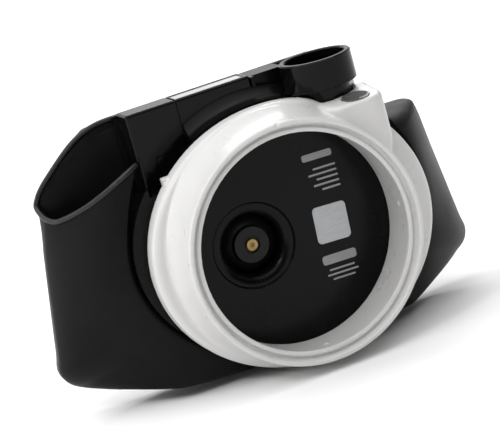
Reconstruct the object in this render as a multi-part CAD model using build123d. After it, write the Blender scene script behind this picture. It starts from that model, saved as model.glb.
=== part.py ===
from build123d import *
import math
import os

# Waist-worn blower unit of a powered air respirator, in millimetres.
# Frame: origin at the centre of the filter seat's mouth, +X to the right of someone facing the
# filter, +Y back towards the wearer, +Z up. Depths are named as distances along +Y.

# Front casing: a filter cup with a flared rim, an oval skirt behind it and a boss for the button
WALL = 2.4
SEAT_R = 70.4
SEAT_LENGTH = 5.0
CUP_R = 72.0
CUP_FLOOR = 36.5
GROOVE_R = 74.8
GROOVE_DEPTH = 1.8
BEAD_R = 77.8
BEAD_FRONT = -4.1
FLARE_R = 85.5
SKIRT_FRONT = 27.0
SKIRT_X = 3.8
SKIRT_A = 97.5
SKIRT_B = 86.5
SHOULDER_R = 5.0
PARTING = 41.0
DETENT_R = 1.6
DETENT_HEIGHT = 0.9
DETENT_DEPTH = 15.0
CASING_SCREWS = [(-81, 20), (-81, -20), (81, 20), (81, -20)]
SCREW_R = 1.5

# Power button and the boss that carries it
BUTTON = (62.9, 18.0, 75.52)
BUTTON_R = 8.8
BUTTON_GAP = 0.35
BOSS_X = (39.0, 80.5)
BOSS_FRONT = 6.0
BOSS_CORNER_R = 13.0
BOSS_LOW = 30.0
BOSS_HOLLOW_LOW = 52.0
BOSS_TRIM_Z = 47.0
BOSS_TILT = 8.0

# Blower: inlet plate, scroll and impeller on an axis left of the middle
BLOWER_X = -23.0
BLOWER_Z = 0.0
EYE_R = 28.5
THROAT_R = 19.5
PLATE_R = 76.0
PLATE_THICK = 2.4
SCROLL = (-19.0, -3.0)
SCROLL_R = 42.0
VOLUTE_FRONT = CUP_FLOOR + PLATE_THICK
VOLUTE_BACK = 59.0
DUCT_X = (36.3, 68.3)
DUCT_TOP = 68.8
HUB_R = 12.8
HUB_FRONT = 41.0
IMPELLER_R = 32.0
BLADE_FRONT = 46.0
BLADE_BACK = 54.0
BLADES = 24
BUSH_R = 3.7
SHAFT_R = 1.5
RUNNING_GAP = 0.03
MOTOR_R = 16.0
MOTOR_FRONT = 60.5
MOTOR_BACK = 77.0

# Hose socket, 40 mm bore
HOSE_X = 52.3
HOSE_Y = 45.0
HOSE_BORE_R = 20.0
HOSE_COLLAR_R = 24.0
HOSE_NECK_R = 18.7
HOSE_WAY_R = 16.7
HOSE_TOP = 104.0
HOSE_LEDGE = 88.0
HOSE_COLLAR_LOW = 84.5
HOSE_FOOT = 70.0
KEY_LOW = 77.5

# Rear housing
FLANGE_A = 101.5
FLANGE_B = 82.4
FLANGE_Z = 7.0
FLANGE_THICK = 2.5
FLANGE_TOP = 56.0
DRUM_A = 92.0
DRUM_B = 76.0
DRUM_Z = 5.0
HOUSING_BACK = 81.5
BACK_WALL = 2.2
BLOCK_RIGHT = 35.2
BLOCK_FRONT = 62.0
BLOCK_TOP = 101.4
COVE_R = 96.0

# Battery pack, which lifts out upwards
PACK_X = (-77.0, 10.5)
PACK_Y = (57.0, 79.0)
PACK_Z = (44.0, 103.0)
PACK_WALL = 1.4
PACK_GAP = 0.3
PACK_SEAM_X = -42.5
CELL_R = 9.0
CELL_LENGTH = 49.5
BAY_TOP = 50.0
LATCH_X = -57.5
LATCH_Z = (55.0, 71.3)
LATCH_WIDTH = (9.0, 15.0)
GAUGE_X = -17.0
GAUGE_Y = (60.0, 75.0)
GAUGE_LENGTH = 48.0
GAUGE_THICK = 0.4
CONTACT_X = (-30, -20, -10)
CONTACT_Y = (66, 70)
CONTACT_HALF = 2.0

# Control board behind the blower
BOARD = (42.0, -20.0)
BOARD_SIZE = 46.0
BOARD_Y = 68.0
BOARD_THICK = 1.6
BOARD_HOLES = [(22, 0), (62, 0), (22, -40), (62, -40)]

# Blank label on the cup's floor
LABEL = (31.7, -2.5)
LABEL_SIZE = (23.4, 24.6)
LABEL_THICK = 0.35

# Padded cover: a pouch that the housing sits in, leaning in towards the top at both ends
COVER_X = -6.5
COVER_HALF = 142.0
COVER_LEAN = 0.156
COVER_SKIN = 3.0
PAD_THICK = 8.0
COVER_FRONT = 44.2
COVER_SHOULDER_X = 104.0
COVER_SHOULDER_Y = 47.0
PAD_MIDDLE_Y = 82.5
PAD_TOP = 101.0
STAND_Z = -86.5
FOLD_R = 9.0
OUTLINE_R = 8.0
LOOP_X = 75.0
LOOP_WIDTH = 38.0
LOOP_HALF_HEIGHT = 34.0
LOOP_GAP = 8.0
LOOP_THICK = 2.2


def face_of(*lines):
    """Make one face from joined lines and arcs."""
    return make_face([edge for line in lines for edge in line.edges()])


def polygon(*points):
    return make_face(Polyline(*points, close=True))


def turned(profile, x=0.0, z=0.0):
    """Turn a (radius, depth) face about the depth axis through (x, z)."""
    return Pos(x, 0, z) * revolve(profile, Axis.Y)


def turned_up(points, x=HOSE_X, y=HOSE_Y):
    """Turn (radius, height) points about the upright axis through (x, y)."""
    return Pos(x, y, 0) * revolve(Plane.XZ * polygon(*points), Axis.Z)


def slab(outline, front, back):
    """Extrude an (x, z) outline from one depth to another."""
    return Pos(0, front, 0) * extrude(Plane.XZ * outline, amount=front - back)


def column(outline, low, high):
    """Extrude an (x, y) outline from one height to another."""
    return Pos(0, 0, low) * extrude(outline, amount=high - low)


def block(x, y, z):
    """A box from three (low, high) ranges."""
    size = [high - low for low, high in (x, y, z)]
    middle = [(low + high) / 2 for low, high in (x, y, z)]
    return Pos(*middle) * Box(*size)


def disc(radius, front, back, x=0.0, z=0.0):
    """A round plate or rod along the depth axis."""
    return slab(Pos(x, z) * Circle(radius), front, back)


def post(radius, low, high, x, y):
    """An upright rod."""
    return column(Pos(x, y) * Circle(radius), low, high)


# ---------------------------------------------------------------- front casing


def cup_shell():
    """Cup wall, seat lip, groove and bead, with the flared outer wall, open at the back."""
    bead_out = BEAD_R + 1.8
    bead_in = BEAD_R - 1.9
    web = GROOVE_DEPTH + WALL
    waist = 80.9
    inside = Polyline(
        (bead_in, GROOVE_DEPTH),
        (GROOVE_R - 0.8, GROOVE_DEPTH),
        (GROOVE_R - 1.4, 0),
        (SEAT_R, 0),
        (SEAT_R, SEAT_LENGTH),
        (CUP_R, SEAT_LENGTH + 1.5),
        (CUP_R, CUP_FLOOR),
        (CUP_R + WALL, CUP_FLOOR),
        (CUP_R + WALL, web),
        (bead_out - WALL, web),
    )
    inner_flare = ThreePointArc((bead_out - WALL, web), (waist - WALL, 14), (FLARE_R - WALL, SKIRT_FRONT))
    rear = Polyline(
        (FLARE_R - WALL, SKIRT_FRONT),
        (FLARE_R - WALL, SKIRT_FRONT + WALL),
        (FLARE_R, SKIRT_FRONT + WALL),
        (FLARE_R, SKIRT_FRONT),
    )
    outer_flare = ThreePointArc((FLARE_R, SKIRT_FRONT), (waist, 13), (bead_out, -2.0))
    bead = ThreePointArc((bead_out, -2.0), (BEAD_R, BEAD_FRONT), (bead_in, -2.0))
    step = Line((bead_in, -2.0), (bead_in, GROOVE_DEPTH))
    return turned(face_of(inside, inner_flare, rear, outer_flare, bead, step))


def flare_core():
    """Everything inside the flared wall's outer surface."""
    outer_flare = ThreePointArc((FLARE_R, SKIRT_FRONT), (80.9, 13), (BEAD_R + 1.8, -2.0))
    rest = Polyline((BEAD_R + 1.8, -2.0), (0, -2.0), (0, PARTING), (FLARE_R, PARTING), (FLARE_R, SKIRT_FRONT))
    return turned(face_of(outer_flare, rest))


def skirt_outline(inset):
    """Oval outline of the skirt, which reaches further to the right than to the left."""
    return Pos(SKIRT_X, 0) * Ellipse(SKIRT_A - inset, SKIRT_B - inset)


def skirt_shell():
    """Oval skirt behind the flare, with a rounded shoulder."""
    outer = slab(skirt_outline(0), SKIRT_FRONT, PARTING)
    outer = fillet(outer.faces().sort_by(Axis.Y)[0].edges(), SHOULDER_R)
    inner = slab(skirt_outline(WALL), SKIRT_FRONT + WALL, PARTING)
    return outer - inner - disc(FLARE_R - 1, SKIRT_FRONT, PARTING)


def boss_solid(inset):
    """Rounded upright boss with a sloping top, shrunk all round by the inset."""
    width = BOSS_X[1] - BOSS_X[0] - 2 * inset
    depth = 2 * (PARTING - BOSS_FRONT) - 2 * inset
    plan = Pos(sum(BOSS_X) / 2, PARTING) * RectangleRounded(width, depth, BOSS_CORNER_R - inset)
    tall = column(plan, BOSS_LOW, BUTTON[2] + 15)
    tilt = math.radians(BOSS_TILT)
    normal = (0, -math.sin(tilt), math.cos(tilt))
    top = Plane(origin=(BUTTON[0], BUTTON[1], BUTTON[2] - inset), z_dir=normal)
    boss = split(tall, bisect_by=top, keep=Keep.BOTTOM)
    if inset == 0:
        boss = fillet(boss.faces().sort_by(Axis.Z)[-1].edges(), 3.0)
    return boss - block((0, 120), (PARTING, 120), (0, 120))


def boss_trim():
    """Wedge that slopes the boss's lower right corner in to meet the flare."""
    x, z = BOSS_X[1], BOSS_TRIM_Z
    corner = polygon((x, z), (x + 10, z), (x + 10, 10), (60, 10), (60, 31), (x - 8, z - 16))
    return slab(corner, -10, SKIRT_FRONT)


def button_frame():
    """Location of the button's top, tilted with the boss."""
    return Location(BUTTON, (BOSS_TILT, 0, 0))


def front_casing():
    inner_boss = boss_solid(WALL) & block((0, 120), (0, 60), (BOSS_HOLLOW_LOW, 120))
    boss = boss_solid(0) - inner_boss - flare_core() - boss_trim()
    skirt = skirt_shell() - inner_boss
    casing = cup_shell() + skirt + boss
    casing -= button_frame() * Cylinder(BUTTON_R + BUTTON_GAP, 20)
    casing -= post(HOSE_NECK_R + 0.4, HOSE_FOOT - 0.5, 120, HOSE_X, HOSE_Y)
    for x, z in CASING_SCREWS:
        stem = disc(4.2, SKIRT_FRONT + 1, PARTING, x, z)
        casing += stem
        casing -= disc(SCREW_R, SKIRT_FRONT + 3, PARTING, x, z)
    for angle in range(0, 360, 90):
        outward = (math.cos(math.radians(angle)), 0, math.sin(math.radians(angle)))
        origin = (CUP_R * outward[0], DETENT_DEPTH, CUP_R * outward[2])
        casing += Plane(origin=origin, z_dir=outward) * Cylinder(DETENT_R, 2 * DETENT_HEIGHT)
    casing -= Pos(0, BEAD_FRONT + 1, BEAD_R + 1.2) * Sphere(1.4)
    casing += block((-70, -64), (PARTING - 5, PARTING + 2), (56, 61))
    casing += block((28, 31.5), (32, 36), (77, 83.5))
    return casing


# ---------------------------------------------------------------- blower


def inlet_plate():
    """Cup floor with a stepped bell mouth that leads into the impeller."""
    plate = disc(PLATE_R, CUP_FLOOR, VOLUTE_FRONT)
    plate -= disc(EYE_R + 0.5, CUP_FLOOR, VOLUTE_FRONT, BLOWER_X, BLOWER_Z)
    step = 1.4
    throat_back = 43.6
    front = ThreePointArc(
        (EYE_R - 2.4, CUP_FLOOR + step),
        (THROAT_R + 2.0, CUP_FLOOR + step + 1.9),
        (THROAT_R, throat_back),
    )
    back = ThreePointArc(
        (THROAT_R + 1.8, throat_back),
        (THROAT_R + 3.6, CUP_FLOOR + step + 3.4),
        (EYE_R, CUP_FLOOR + step + 1.9),
    )
    edge = Polyline(
        (EYE_R, CUP_FLOOR + step + 1.9),
        (EYE_R + 0.5, VOLUTE_FRONT),
        (EYE_R + 0.5, CUP_FLOOR),
        (EYE_R, CUP_FLOOR),
        (EYE_R - 1.2, CUP_FLOOR + step),
        (EYE_R - 2.4, CUP_FLOOR + step),
    )
    lip = Line((THROAT_R, throat_back), (THROAT_R + 1.8, throat_back))
    return plate + turned(face_of(front, lip, back, edge), BLOWER_X, BLOWER_Z)


def cup_gasket():
    """Rubber ring that seals the plate's edge behind the cup wall."""
    ring = disc(PLATE_R + 1.0, CUP_FLOOR + 0.4, VOLUTE_FRONT - 0.4)
    return ring - disc(PLATE_R, CUP_FLOOR, VOLUTE_FRONT)


def volute_outline(inset):
    """Scroll circle joined to a duct that rises to the hose socket."""
    x, z = SCROLL
    left, right = DUCT_X[0] + inset, DUCT_X[1] - inset
    duct = polygon(
        (5, 33 - inset),
        (left, 60 - inset),
        (left, DUCT_TOP),
        (right, DUCT_TOP),
        (right, 34 + inset / 2),
        (12, -32 + inset),
    )
    return Pos(x, z) * Circle(SCROLL_R - inset) + duct


def volute():
    body = slab(volute_outline(0), VOLUTE_FRONT, VOLUTE_BACK)
    hollow = slab(volute_outline(2), VOLUTE_FRONT + 2, VOLUTE_BACK - 2)
    mouth = slab(volute_outline(2) & Circle(PLATE_R - 3), VOLUTE_FRONT, VOLUTE_FRONT + 2)
    body = body - hollow - mouth
    return body - disc(8, VOLUTE_FRONT, 70, BLOWER_X, BLOWER_Z)


def blade(angle):
    """One backward-curved blade."""
    inner_r = 21.5
    path = ThreePointArc((inner_r, 0), (27.5, 1.2), (IMPELLER_R - 0.5, 4.2))
    outline = trace(path, 0.9)
    turned_outline = Pos(BLOWER_X, BLOWER_Z) * (Rot(0, 0, angle) * outline)
    return slab(turned_outline, BLADE_FRONT, BLADE_BACK + 0.2)


def impeller():
    """Domed hub and back plate carrying a ring of blades, with a rim ring at the front."""
    back = BLADE_BACK + 1.5
    dome = ThreePointArc((HUB_R, HUB_FRONT + 3.0), (18.5, 49), (IMPELLER_R - 10, BLADE_BACK))
    section = Polyline(
        (IMPELLER_R - 10, BLADE_BACK),
        (IMPELLER_R, BLADE_BACK),
        (IMPELLER_R, back),
        (BUSH_R, back),
        (BUSH_R, HUB_FRONT + 1.2),
        (5.2, HUB_FRONT + 1.2),
        (5.6, HUB_FRONT),
        (HUB_R - 1.0, HUB_FRONT),
        (HUB_R, HUB_FRONT + 3.0),
    )
    wheel = turned(face_of(dome, section), BLOWER_X, BLOWER_Z)
    for index in range(BLADES):
        wheel += blade(index * 360 / BLADES)
    rim = disc(IMPELLER_R, BLADE_FRONT - 1, BLADE_FRONT + 0.2, BLOWER_X, BLOWER_Z)
    rim -= disc(IMPELLER_R - 5, BLADE_FRONT - 1, BLADE_FRONT + 0.2, BLOWER_X, BLOWER_Z)
    return wheel + rim


def impeller_bush():
    bush = disc(BUSH_R, HUB_FRONT - 0.8, BLADE_BACK + 1.5, BLOWER_X, BLOWER_Z)
    return bush - disc(SHAFT_R, HUB_FRONT - 0.8, BLADE_BACK + 1.5, BLOWER_X, BLOWER_Z)


def motor_shaft():
    return disc(SHAFT_R, HUB_FRONT - 0.2, MOTOR_BACK - 0.4, BLOWER_X, BLOWER_Z)


def ring(outer, inner, front, back):
    """A ring on the blower axis."""
    whole = disc(outer, front, back, BLOWER_X, BLOWER_Z)
    return whole - disc(inner, front, back, BLOWER_X, BLOWER_Z)


def motor_can():
    can = ring(MOTOR_R, SHAFT_R + 2.5, MOTOR_FRONT, MOTOR_BACK)
    return can - disc(MOTOR_R - 1.2, MOTOR_FRONT + 1.2, MOTOR_BACK - 1.2, BLOWER_X, BLOWER_Z)


def motor_stator():
    """Laminated ring with six copper-wound teeth."""
    stator = ring(MOTOR_R - 1.2, 12.4, MOTOR_FRONT + 3, MOTOR_BACK - 3)
    for index in range(6):
        tooth = Pos(BLOWER_X, BLOWER_Z) * (Rot(0, 0, index * 60) * (Pos(11, 0) * Rectangle(4, 6)))
        stator += slab(tooth, MOTOR_FRONT + 3, MOTOR_BACK - 3)
    return stator


def rotor_magnet():
    return ring(8.2, SHAFT_R, MOTOR_FRONT + 3, MOTOR_BACK - 3)


def bearing(front):
    return ring(SHAFT_R + 2.5, SHAFT_R + RUNNING_GAP, front, front + 2.6)


def motor_mount():
    """Rubber ring between the motor and the scroll's back wall."""
    return ring(MOTOR_R - 2, 8, VOLUTE_BACK, MOTOR_FRONT)


# ---------------------------------------------------------------- hose socket


def hose_socket():
    """Collar with a 40 mm bore and a groove inside, on a neck with a shaped foot."""
    socket = turned_up([
        (HOSE_WAY_R, HOSE_FOOT),
        (HOSE_NECK_R, HOSE_FOOT),
        (HOSE_NECK_R, HOSE_COLLAR_LOW),
        (HOSE_COLLAR_R - 0.6, HOSE_COLLAR_LOW),
        (HOSE_COLLAR_R, HOSE_COLLAR_LOW + 0.6),
        (HOSE_COLLAR_R, HOSE_TOP - 0.8),
        (HOSE_COLLAR_R - 0.8, HOSE_TOP),
        (HOSE_BORE_R + 0.8, HOSE_TOP),
        (HOSE_BORE_R, HOSE_TOP - 0.8),
        (HOSE_BORE_R, HOSE_TOP - 5),
        (HOSE_BORE_R + 1.2, HOSE_TOP - 6),
        (HOSE_BORE_R + 1.2, HOSE_TOP - 8),
        (HOSE_BORE_R, HOSE_TOP - 9),
        (HOSE_BORE_R, HOSE_LEDGE),
        (HOSE_WAY_R, HOSE_LEDGE),
    ])
    floor = post(HOSE_WAY_R + 1, HOSE_FOOT, HOSE_FOOT + 2, HOSE_X, HOSE_Y)
    return socket + (floor - air_way(HOSE_FOOT, HOSE_FOOT + 2, 0))


def air_way(low, high, inset):
    """Shape of the air passage between duct and socket."""
    left, right = DUCT_X[0] + 2 - inset, DUCT_X[1] - 2 + inset
    front, back = VOLUTE_FRONT + 2 - inset, VOLUTE_BACK - 2 + inset
    return block((left, right), (front, back), (low, high))


def socket_seal():
    """Flat gasket between duct and socket."""
    return air_way(DUCT_TOP, HOSE_FOOT, 2) - air_way(DUCT_TOP, HOSE_FOOT, 0)


def socket_key():
    """Small key under the collar that stops the socket turning in the housing."""
    x = HOSE_X + HOSE_NECK_R
    key = block((x - 1, x + 2.6), (HOSE_Y - 3, HOSE_Y + 3), (KEY_LOW, HOSE_COLLAR_LOW))
    return key - post(HOSE_NECK_R, KEY_LOW - 1, HOSE_COLLAR_LOW + 1, HOSE_X, HOSE_Y)


# ---------------------------------------------------------------- rear housing


def cove():
    """Concave surface that rises from the drum to the battery bay's front."""
    arc = ThreePointArc((88.0, PARTING + FLANGE_THICK), (89.6, 51.0), (COVE_R, PACK_Y[0] - 0.4))
    rest = Polyline(
        (COVE_R, PACK_Y[0] - 0.4),
        (80, PACK_Y[0] - 0.4),
        (80, PARTING + FLANGE_THICK),
        (88.0, PARTING + FLANGE_THICK),
    )
    return turned(face_of(arc, rest)) & block((PACK_SEAM_X + 1, BLOCK_RIGHT), (0, 90), (55, 110))


def flange():
    """Flat lip round the casing's back edge, cut away at the top."""
    lip = slab(Pos(0, FLANGE_Z) * Ellipse(FLANGE_A, FLANGE_B), PARTING, PARTING + FLANGE_THICK)
    lip -= block((-120, 120), (0, 90), (FLANGE_TOP, 120))
    return lip + slab(skirt_outline(0), PARTING, PARTING + FLANGE_THICK)


def outlet_block(inset):
    """Box behind the boss that supports the hose socket's neck."""
    x = (28 + inset, 76.5 - inset)
    return block(x, (PARTING, 68.5 - inset), (40, 77 if inset == 0 else HOSE_FOOT - 0.5))


def rear_housing():
    drum = Pos(0, DRUM_Z) * Ellipse(DRUM_A, DRUM_B)
    hollow = slab(Pos(0, DRUM_Z) * Ellipse(DRUM_A - WALL, DRUM_B - WALL), PARTING, HOUSING_BACK - BACK_WALL)
    wall = PACK_GAP + 2.0
    bay_outer = block(
        (PACK_X[0] - wall, PACK_X[1] + wall), (PACK_Y[0] - wall, HOUSING_BACK), (PACK_Z[0] - wall, BLOCK_TOP)
    )
    bay = block(
        (PACK_X[0] - PACK_GAP, PACK_X[1] + PACK_GAP),
        (PACK_Y[0] - PACK_GAP, PACK_Y[1] + PACK_GAP),
        (PACK_Z[0], 120),
    )
    upper_bay = block((-120, PACK_X[1] + PACK_GAP), (PACK_Y[0] - PACK_GAP, PACK_Y[1] + PACK_GAP), (BAY_TOP, 120))
    notch = block((-80, -47), (PARTING - 1, PACK_Y[0]), (51, 80))
    notch_wall = block((-82, -45), (PARTING - 1, PACK_Y[0]), (49, 82))
    right_block = block((PACK_X[1], BLOCK_RIGHT), (BLOCK_FRONT, HOUSING_BACK), (60, BLOCK_TOP))
    right_block = fillet(right_block.edges().filter_by(Axis.X).sort_by(Axis.Z)[-1:], 1.5)
    back_plate = block((PACK_X[0], BLOCK_RIGHT), (PACK_Y[1] + PACK_GAP, HOUSING_BACK), (45, BLOCK_TOP))
    front_edge = slab(drum, PARTING, HOUSING_BACK)
    housing = front_edge + flange() + outlet_block(0) + cove()
    lower_bay = bay_outer - block((-120, 120), (0, PACK_Y[0] - PACK_GAP), (BAY_TOP, 120))
    housing += lower_bay + back_plate + right_block
    hollow = hollow - bay_outer - notch_wall
    housing = housing - hollow - outlet_block(WALL) - notch - bay - upper_bay
    housing -= post(HOSE_NECK_R + 0.4, HOSE_FOOT - 0.5, 120, HOSE_X, HOSE_Y)
    housing -= post(HOSE_COLLAR_R + 0.4, HOSE_COLLAR_LOW - 0.5, 120, HOSE_X, HOSE_Y)
    housing -= air_way(DUCT_TOP, HOSE_FOOT, 2)
    housing -= contact_slots(PACK_Z[0] - 4, PACK_Z[0] + 1)
    return add_posts(housing)


def add_posts(housing):
    """Deep screw tubes at the flange and short posts for the circuit board."""
    for x, z in CASING_SCREWS:
        housing += disc(4.8, PARTING, HOUSING_BACK, x, z) & slab(
            Pos(0, DRUM_Z) * Ellipse(DRUM_A, DRUM_B), PARTING, HOUSING_BACK
        )
        housing -= disc(SCREW_R + 0.2, PARTING, HOUSING_BACK, x, z)
        housing -= disc(3.3, PARTING + 5, HOUSING_BACK, x, z)
    for x, z in BOARD_HOLES:
        housing += disc(3.0, BOARD_Y + BOARD_THICK, HOUSING_BACK - 1, x, z)
        housing -= disc(1.2, BOARD_Y, HOUSING_BACK - BACK_WALL, x, z)
    return housing


# ---------------------------------------------------------------- battery pack


def battery_case():
    """Hollow pack with a vertical seam groove, a latch window and a gauge recess."""
    case = block(PACK_X, PACK_Y, PACK_Z)
    case = fillet(case.edges().filter_by(Axis.Z) + case.faces().sort_by(Axis.Z)[-1].edges(), 1.8)
    inner_y = (PACK_Y[0] + PACK_WALL, PACK_Y[1] - PACK_WALL)
    inner_z = (PACK_Z[0] + PACK_WALL, PACK_Z[1] - 2.2)
    case -= block((PACK_X[0] + PACK_WALL, PACK_SEAM_X - 1.4), inner_y, inner_z)
    case -= block((PACK_SEAM_X + 1.4, PACK_X[1] - PACK_WALL), inner_y, inner_z)
    groove = (PACK_SEAM_X - 0.7, PACK_SEAM_X + 0.7)
    case -= block(groove, (PACK_Y[0] - 1, PACK_Y[0] + 1.0), (PACK_Z[0], PACK_Z[1] + 1))
    case -= block(groove, (PACK_Y[0] - 1, PACK_Y[1] + 1), (PACK_Z[1] - 1.0, PACK_Z[1] + 1))
    case -= slab(latch_outline(0.3), PACK_Y[0] - 1, PACK_Y[0] + PACK_WALL + 1)
    case -= contact_slots(PACK_Z[0] - 1, PACK_Z[0] + PACK_WALL + 1)
    return case - slab(gauge_slot(), GAUGE_Y[0], GAUGE_Y[1])


def latch_outline(gap):
    """Shield shape, wider at the top."""
    low, high = LATCH_WIDTH[0] / 2 + gap, LATCH_WIDTH[1] / 2 + gap
    z = (LATCH_Z[0] - gap, LATCH_Z[1] + gap)
    return polygon(
        (LATCH_X - low, z[0]),
        (LATCH_X - high, z[1] - 4),
        (LATCH_X - high + 1.2, z[1]),
        (LATCH_X + high - 1.2, z[1]),
        (LATCH_X + high, z[1] - 4),
        (LATCH_X + low, z[0]),
    )


def gauge_slot():
    """Slot in the pack's top for the charge gauge."""
    return Pos(GAUGE_X, PACK_Z[1]) * Rectangle(GAUGE_LENGTH, 4 * GAUGE_THICK)


def gauge_window():
    """Clear strip that lies in the slot, a little below the pack's top."""
    strip = Rectangle(GAUGE_LENGTH - 0.2, GAUGE_THICK)
    middle_z = PACK_Z[1] - 1.5 * GAUGE_THICK
    return slab(Pos(GAUGE_X, middle_z) * strip, GAUGE_Y[0] + 0.1, GAUGE_Y[1] - 0.1)


def battery_latch():
    """Push button in the pack's front with a stem for its spring."""
    button = slab(latch_outline(0), PACK_Y[0] - 1.2, PACK_Y[0] + 0.9)
    stem_z = sum(LATCH_Z) / 2
    return button + disc(2.0, PACK_Y[0] + 0.9, PACK_Y[0] + 7, LATCH_X, stem_z)


def latch_spring():
    """Coil spring round the latch's stem, ending on the pack's back wall."""
    stem_z = sum(LATCH_Z) / 2
    front = PACK_Y[0] + 1.2
    length = PACK_Y[1] - PACK_WALL - front - 0.3
    path = Helix(pitch=length / 7, height=length, radius=3.0)
    start = path @ 0
    wire = sweep(Plane(origin=start, z_dir=path % 0) * Circle(0.3), path=path, is_frenet=True)
    return Location((LATCH_X, front, stem_z), (-90, 0, 0)) * wire


def battery_cells():
    """Three round cells lying one above another."""
    cells = []
    x = PACK_SEAM_X + 1.4 - 0.4
    for index in range(3):
        z = PACK_Z[0] + PACK_WALL + 0.2 + CELL_R + index * (2 * CELL_R + 0.3)
        can = Cylinder(CELL_R, CELL_LENGTH - 1.2) + Pos(0, 0, CELL_LENGTH / 2) * Cylinder(3, 1.2)
        cells.append(Location((x + CELL_LENGTH / 2, sum(PACK_Y) / 2, z), (0, 90, 0)) * can)
    return Compound(cells)


def contact_slots(low, high):
    """Openings that the contact blades sit in."""
    x, y = CONTACT_HALF, CONTACT_Y
    return sum_of([block((middle - x, middle + x), y, (low, high)) for middle in CONTACT_X])


def sum_of(solids):
    """Join solids into one shape."""
    whole = solids[0]
    for solid in solids[1:]:
        whole += solid
    return whole


def terminal_strip(low, high):
    """Three contact blades under the pack."""
    x, y = CONTACT_HALF, CONTACT_Y
    return Compound([block((middle - x, middle + x), y, (low, high)) for middle in CONTACT_X])


# ---------------------------------------------------------------- controls and electronics


def power_button():
    """Round cap with a dished top and a stem that reaches the switch."""
    cap = Pos(0, 0, -1.6) * Cylinder(BUTTON_R, 4.0)
    dish_r = 28.0
    cap -= Pos(0, 0, dish_r - 1.0) * Sphere(dish_r)
    cap += Pos(0, 0, -4.6) * Cylinder(2.4, 3.2)
    flange_ring = Pos(0, 0, -3.3) * Cylinder(BUTTON_R + 0.25, 0.6)
    return button_frame() * (cap + flange_ring)


def power_switch():
    """Small push switch on a bracket plate under the button."""
    body = Pos(2, 2, -10.0) * Box(10, 10, 4.0)
    plate = Pos(4.4, 3, -12.6) * Box(21, 9, 1.2)
    return button_frame() * (body + plate)


def control_board():
    """Circuit board with driver chip, connector and capacitor."""
    x, z = BOARD
    board = slab(Pos(x, z) * Rectangle(BOARD_SIZE, BOARD_SIZE), BOARD_Y, BOARD_Y + BOARD_THICK)
    board += slab(Pos(x - 4, z + 2) * Rectangle(12, 12), BOARD_Y - 1.8, BOARD_Y)
    board += slab(Pos(x + 14, z - 8) * Rectangle(8, 14), BOARD_Y - 5, BOARD_Y)
    board += disc(4, BOARD_Y - 6, BOARD_Y, x - 11, z - 15)
    for x, z in BOARD_HOLES:
        board -= disc(1.4, BOARD_Y - 1, BOARD_Y + 2, x, z)
    return board


def screw(x, z, front, head, thread_r, head_r, head_height):
    """Pan-head screw whose shank runs forward from its head."""
    body = disc(thread_r, front, head, x, z)
    top = disc(head_r, head, head + head_height, x, z)
    return body + top - disc(head_r * 0.35, head + head_height * 0.4, head + head_height, x, z)


def casing_screws():
    return Compound([
        screw(x, z, PARTING - 9, PARTING + 5, SCREW_R - 0.05, 2.9, 2.2) for x, z in CASING_SCREWS
    ])


def board_screws():
    """Short screws from the board's front into the posts behind it."""
    screws = []
    for x, z in BOARD_HOLES:
        head = disc(2.4, BOARD_Y - 1.6, BOARD_Y, x, z)
        screws.append(head + disc(1.15, BOARD_Y, BOARD_Y + 7, x, z))
    return Compound(screws)


def rating_label():
    """Blank label on the cup's floor."""
    outline = Pos(*LABEL) * (Rot(0, 0, -3) * RectangleRounded(*LABEL_SIZE, 3))
    return slab(outline, CUP_FLOOR - LABEL_THICK, CUP_FLOOR)


# ---------------------------------------------------------------- padded cover


def pad_curve(x):
    """Depth of the pad's front face, which bends round the wearer."""
    return PAD_MIDDLE_Y + (x - COVER_X) ** 2 / 1306


def cover_half(z):
    return COVER_HALF - COVER_LEAN * z


def pouch(inset, low, high):
    """Solid inside the cover's outer skin, shrunk by the inset at the front and the ends."""
    wide = 175
    end_y = COVER_SHOULDER_Y + (wide - COVER_SHOULDER_X) * 50 / 46
    back_y = pad_curve(COVER_X + wide) + 30
    plan = [
        (COVER_X - wide, end_y + inset * 1.4),
        (-COVER_SHOULDER_X, COVER_SHOULDER_Y + inset * 1.2),
        (-90, COVER_FRONT + inset),
        (90, COVER_FRONT + inset),
        (COVER_SHOULDER_X - 9, COVER_SHOULDER_Y + inset * 1.2),
        (COVER_X + wide, end_y + inset * 1.4),
        (COVER_X + wide, back_y),
        (COVER_X - wide, back_y),
    ]
    whole = column(polygon(*plan), low, high)
    ends = polygon(
        (COVER_X - cover_half(low) + inset, low),
        (COVER_X + cover_half(low) - inset, low),
        (COVER_X + cover_half(high) - inset, high),
        (COVER_X - cover_half(high) + inset, high),
    )
    whole = whole & slab(ends, 0, 180)
    corners = [edge for edge in whole.edges() if is_fold(edge)]
    return fillet(corners, FOLD_R - inset)


def is_fold(edge):
    """True for the two leaning edges where the front meets an end."""
    middle = edge @ 0.5
    leaning = abs(edge.tangent_at(0.5).Z) > 0.9
    return leaning and abs(middle.X - COVER_X) > 120 and middle.Y < 115


def pad_region(front_offset, back_offset):
    """Everything between two curves parallel to the pad's front face."""
    wide = 175
    points = []
    for offset in (front_offset, back_offset):
        ends = [COVER_X - wide, COVER_X, COVER_X + wide]
        points.append([(x, pad_curve(x) + offset) for x in ends])
    near = ThreePointArc(*points[0])
    far = ThreePointArc(*points[1])
    sides = [Line(points[0][index], points[1][index]) for index in (0, 2)]
    return column(face_of(near, far, *sides), -100, 130)


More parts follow.
